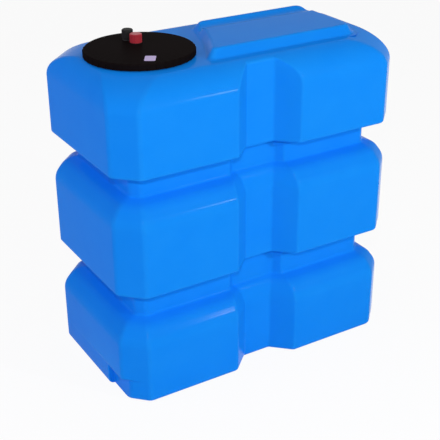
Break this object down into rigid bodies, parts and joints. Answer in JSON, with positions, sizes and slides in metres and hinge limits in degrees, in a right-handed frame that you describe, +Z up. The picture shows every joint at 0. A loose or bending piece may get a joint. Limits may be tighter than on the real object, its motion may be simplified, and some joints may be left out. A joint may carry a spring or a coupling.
{
  "type": "water tank",
  "caption": "Tall one-piece moulded water tank with stepped tiers, bevelled corners, recessed side channels, raised top plateau, black screw lid, breather knob and small filler cap",
  "frame": {"origin": "centre of the flat base on the ground", "axes": "+X along the length, away from the lid; +Y across the width, towards the rear long side; +Z up"},
  "size_m": [1.25, 0.7, 1.357],
  "materials": {
    "tank_blue": "smooth glossy blue polyethylene, moulded in one piece",
    "lid_black": "black moulded plastic with a soft sheen",
    "seal_rubber": "plain dark sealing rubber",
    "cap_red": "dark red moulded plastic",
    "fitting_black": "black moulded plastic"
  },
  "bodies": {
    "tank": {"tank_body": "tank_blue"},
    "lid": {"manhole_lid": "lid_black", "lid_seal": "seal_rubber", "filler_spout": "fitting_black", "breather_stem": "fitting_black", "breather_washer": "seal_rubber", "breather_nut": "fitting_black", "breather_hood": "fitting_black"},
    "small_cap": {"filler_cap": "cap_red", "filler_cap_seal": "seal_rubber"}
  },
  "joints": [
    {"name": "lid_lift", "type": "slide", "parent": "tank", "child": "lid", "axis": [0, 0, 1], "range_m": [0, 0.12]},
    {"name": "filler_cap_lift", "type": "slide", "parent": "lid", "child": "small_cap", "axis": [0, 0, 1], "range_m": [0, 0.05]}
  ]
}
